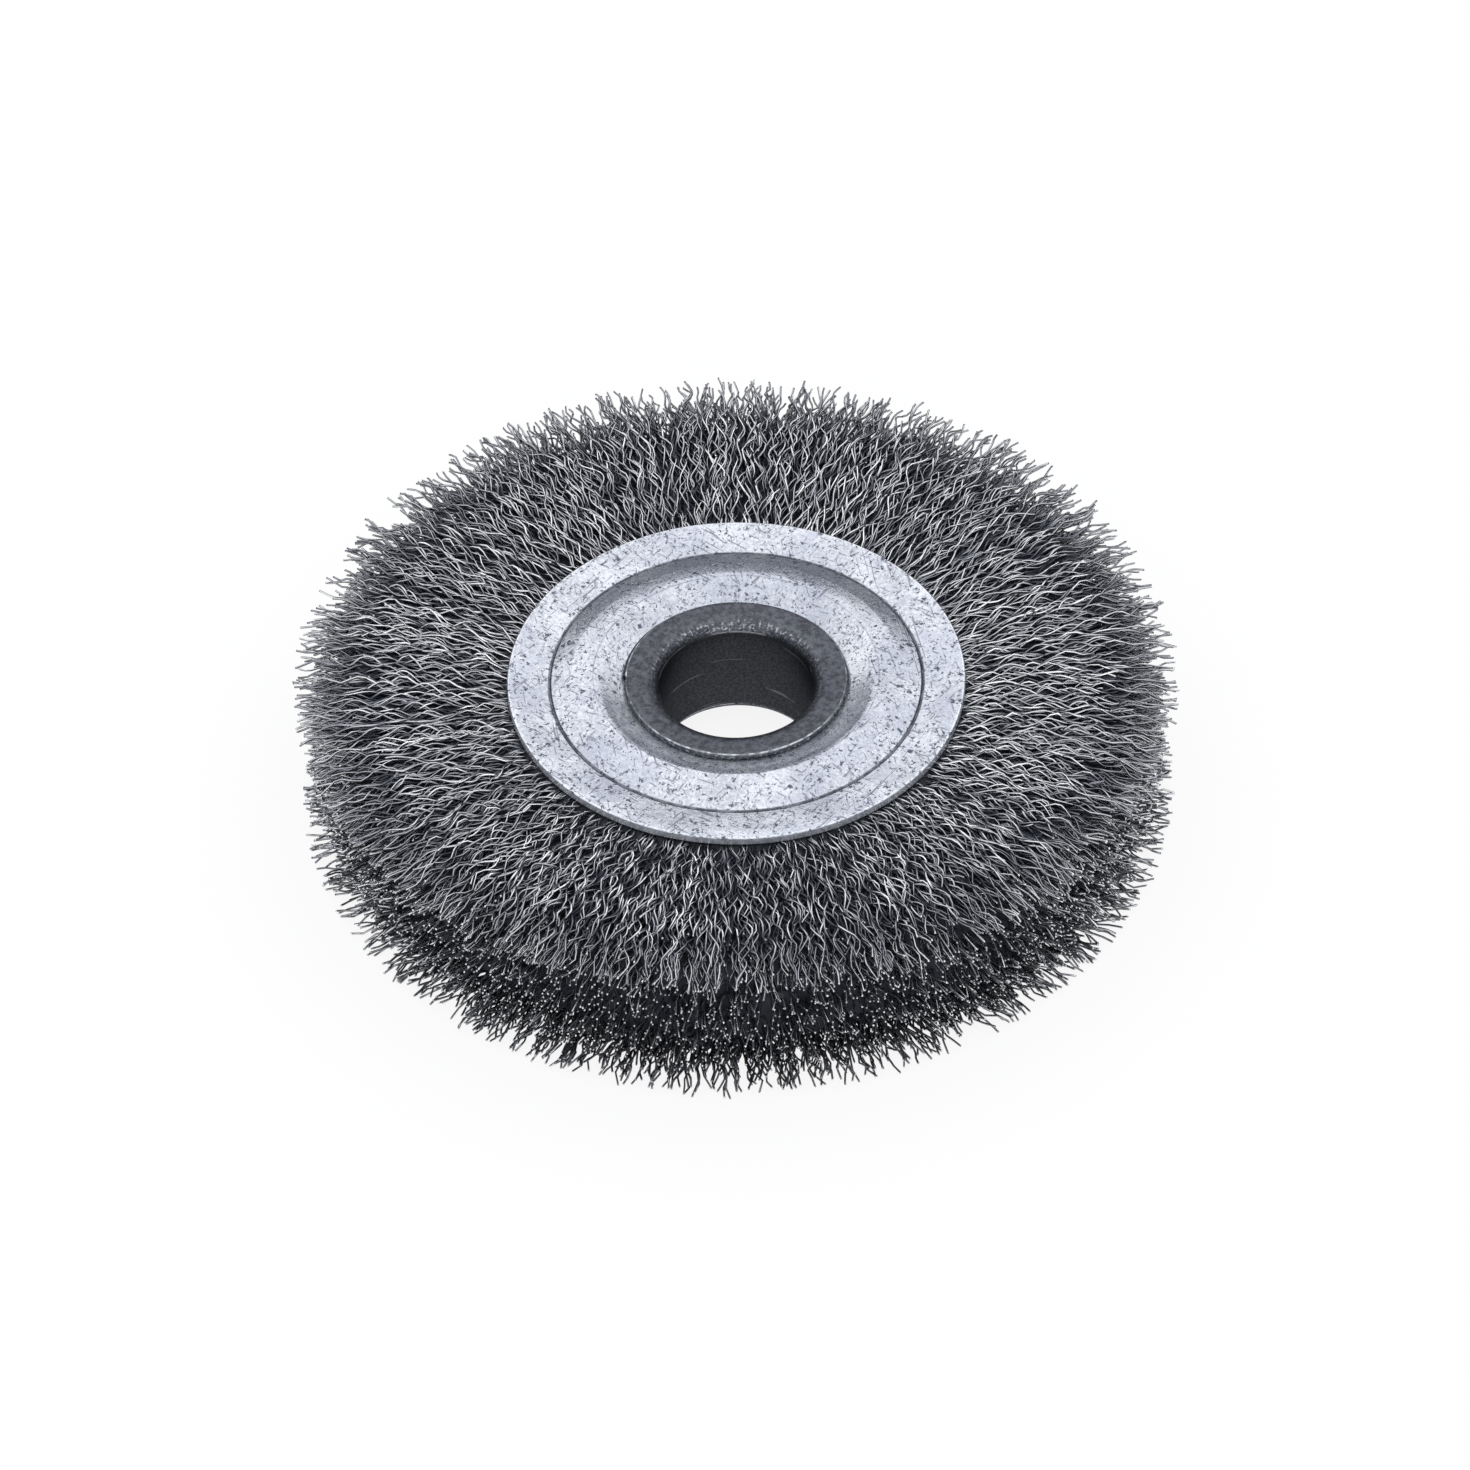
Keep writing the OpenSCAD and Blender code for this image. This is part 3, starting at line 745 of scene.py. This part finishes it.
# The lip's edge is brightened: wear, and a painted highlight on its rounding.
colour = mix(tree, maths(tree, "MULTIPLY", lip_wear_and_highlight, 0.85), colour, (0.62, 0.64, 0.68, 1))
colour = mix(tree, maths(tree, "MULTIPLY", specks, 0.6), colour, (0.04, 0.04, 0.045, 1))
colour = mix(tree, nick, colour, (0.02, 0.02, 0.022, 1))
bright = maths(tree, "MAXIMUM", mouth_streaks_and_glints, lip_wear_and_highlight)
rough = maths(tree, "SUBTRACT", 0.46, maths(tree, "MULTIPLY", bright, 0.2))
height = maths(tree, "SUBTRACT", grain, maths(tree, "MULTIPLY", specks, 0.6))
relief = add(tree, "ShaderNodeBump", {"Height": height, "Strength": 0.3, "Distance": 0.0001}).outputs[0]
feed(tree, shader, {"Base Color": colour, "Roughness": rough, "Normal": relief})
shader.inputs["Metallic"].default_value = 1.0
shader.inputs["Specular Tint"].default_value = (0.45, 0.45, 0.47, 1)
sleeve.data.materials.append(dark_skin)

# %% [markdown]
# ## Steel wire
# The wire is hard drawn steel with a grey skin. Each wire has its own tone, which the mesh carries as an
# attribute. The cut ends are bright, and a second attribute marks them.

# %% Wire steel
wire_steel, tree, shader, place = finish_material("crimped steel wire")
tone, depth, cut_end = (add(tree, "ShaderNodeAttribute", attribute_name=name).outputs["Fac"]
                        for name in ("wire_tone", "fill_depth", "cut_end"))
stain = add(tree, "ShaderNodeTexNoise", {"Vector": place, "Scale": 0.9, "Detail": 3.0}).outputs[0]
painted_flank_shade = add(tree, "ShaderNodeLayerWeight", {"Blend": 0.5}).outputs["Facing"]
colour = mix(tree, maths(tree, "POWER", tone, 1.4), (0.42, 0.43, 0.46, 1), (1.0, 1.0, 1.0, 1))
colour = mix(tree, smooth_step(tree, stain, 0.52, 0.75), colour, (0.38, 0.38, 0.41, 1))
# Each wire's flanks, seen edge-on, are darkened: painted shade that narrows its highlight.
colour = mix(tree, maths(tree, "MULTIPLY", smooth_step(tree, painted_flank_shade, 0.25, 0.75), 0.8), colour, (0.10, 0.105, 0.13, 1))
# Points deeper in the fill or further behind the rim turn dark: painted shade between the wires.
colour = mix(tree, smooth_step(tree, depth, 0.0, 1.05), colour, (0.075, 0.08, 0.10, 1))
bright_end = maths(tree, "MULTIPLY", cut_end, smooth_step(tree, tone, 0.6, 0.95))
side_up = maths(tree, "ABSOLUTE", add(tree, "ShaderNodeSeparateXYZ", {0: place}).outputs[2])
# Towards the rim the wires on both faces are darkened: painted shade where the faces turn over.
painted_rim_shade = use(tree, ring_band, {"Place": place, "Radius": 64.0, "Half width": 12.0, "Break up": 0.3})["Mask"]
painted_rim_shade = maths(tree, "MULTIPLY", painted_rim_shade, smooth_step(tree, side_up, 6.0, 9.0))
colour = mix(tree, maths(tree, "MULTIPLY", painted_rim_shade, 0.42), colour, (0.12, 0.125, 0.15, 1))
colour = mix(tree, bright_end, colour, (0.88, 0.88, 0.90, 1))
rough = maths(tree, "ADD", 0.14, maths(tree, "MULTIPLY", stain, 0.16))
rough = maths(tree, "ADD", rough, maths(tree, "MULTIPLY", smooth_step(tree, depth, 0.6, 1.15), 0.6))
feed(tree, shader, {"Base Color": colour, "Roughness": rough})
shader.inputs["Metallic"].default_value = 0.9
for piece in wire_pieces:
    piece.data.materials.append(wire_steel)

# %% [markdown]
# The retaining ring keeps its CAD mesh, because it's a plain hoop that nothing shows. It gets a drawn steel bar's
# finish: dull grey with faint lines.

# %% Ring steel
bar_steel, tree, shader, place = finish_material("drawn steel bar")
grain = add(tree, "ShaderNodeTexNoise", {"Vector": place, "Scale": 1.2, "Detail": 5.0}).outputs[0]
feed(tree, shader, {
    "Base Color": mix(tree, grain, (0.24, 0.245, 0.25, 1), (0.36, 0.365, 0.37, 1)),
    "Roughness": maths(tree, "ADD", 0.3, maths(tree, "MULTIPLY", grain, 0.2)),
})
shader.inputs["Metallic"].default_value = 1.0
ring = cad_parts["retaining_ring"]
for slot in ring.material_slots:
    slot.material = bar_steel
print("materials:", [m.name for m in (zinc, dark_skin, wire_steel, bar_steel)])

# %% [markdown]
# ## Floor, light and world
# The photograph has a clean white ground. The floor is pale paper that shows white to the camera and in
# reflections, but keeps some of its own shading, so that the wheel still has a soft shadow. A broad soft lamp
# overhead lights the wheel like a bright ceiling. The world is left a dim grey, so that slopes that face the
# walls of the studio turn dark, as the bead's far side does.

# %% Floor
paper = bpy.data.materials.new("white paper")
paper.use_nodes = True
tree = paper.node_tree
tree.nodes.clear()
ray = add(tree, "ShaderNodeLightPath")
seen = maths(tree, "MAXIMUM", ray.outputs["Is Camera Ray"],
             maths(tree, "MAXIMUM", ray.outputs["Is Glossy Ray"], ray.outputs["Is Transmission Ray"]))
matt = add(tree, "ShaderNodeBsdfDiffuse", {"Color": (0.80, 0.80, 0.80, 1)}).outputs[0]
glow = add(tree, "ShaderNodeEmission", {"Color": (1, 1, 1, 1), "Strength": 1.02}).outputs[0]
white = add(tree, "ShaderNodeMixShader", {0: maths(tree, "MULTIPLY", seen, 0.86), 1: matt, 2: glow}).outputs[0]
tree.links.new(white, add(tree, "ShaderNodeOutputMaterial").inputs["Surface"])

lowest = min(float(np.min([v.co.z for v in piece.data.vertices])) for piece in wire_pieces)
half_floor = 3.0
floor_mesh = bpy.data.meshes.new("floor")
floor_mesh.from_pydata([(x, y, lowest - 0.0001) for x, y in
                        ((-half_floor, -half_floor), (half_floor, -half_floor), (half_floor, half_floor),
                         (-half_floor, half_floor))], [], [(0, 1, 2, 3)])
floor = bpy.data.objects.new("floor", floor_mesh)
bpy.context.collection.objects.link(floor)
floor.data.materials.append(paper)
floor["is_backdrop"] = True
print("floor at", round(lowest / MM, 2), "mm")


# %% Lamps and world
def soft_lamp(name, place, tip, width, length, power):
    """An area lamp over the wheel, tipped about the X axis by an angle in degrees from shining straight down."""
    lamp = bpy.data.lights.new(name, "AREA")
    lamp.shape, lamp.size, lamp.size_y, lamp.energy = "RECTANGLE", width, length, power
    made = bpy.data.objects.new(name, lamp)
    bpy.context.collection.objects.link(made)
    made.location, made.rotation_euler = place, (math.radians(tip), 0, 0)
    made.visible_camera = False
    return made


soft_lamp("ceiling", (0, 0.45, 0.85), 0, 2.5, 2.2, 21.0)
soft_lamp("front fill", (0, -1.4, 0.60), 65, 2.0, 0.8, 9.0)
world = bpy.data.worlds.new("studio")
bpy.context.scene.world = world
world.use_nodes = True
world.node_tree.nodes["Background"].inputs["Color"].default_value = (0.24, 0.25, 0.28, 1)
world.node_tree.nodes["Background"].inputs["Strength"].default_value = 1.0
bpy.context.scene.view_settings.view_transform = "Standard"

# %% [markdown]
# ## Growth over the CAD box
# The visual model's box is divided by the CAD box, side by side, and printed. The
# visual model must stay inside the CAD box, give or take 3% of each side.

# %% Sizes and finish
visual_box = [list(corner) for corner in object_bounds()]
growth = [(visual_box[1][k] - visual_box[0][k]) / (cad_box[1][k] - cad_box[0][k]) for k in range(3)]
print("visual box over CAD box:", [round(g, 4) for g in growth])
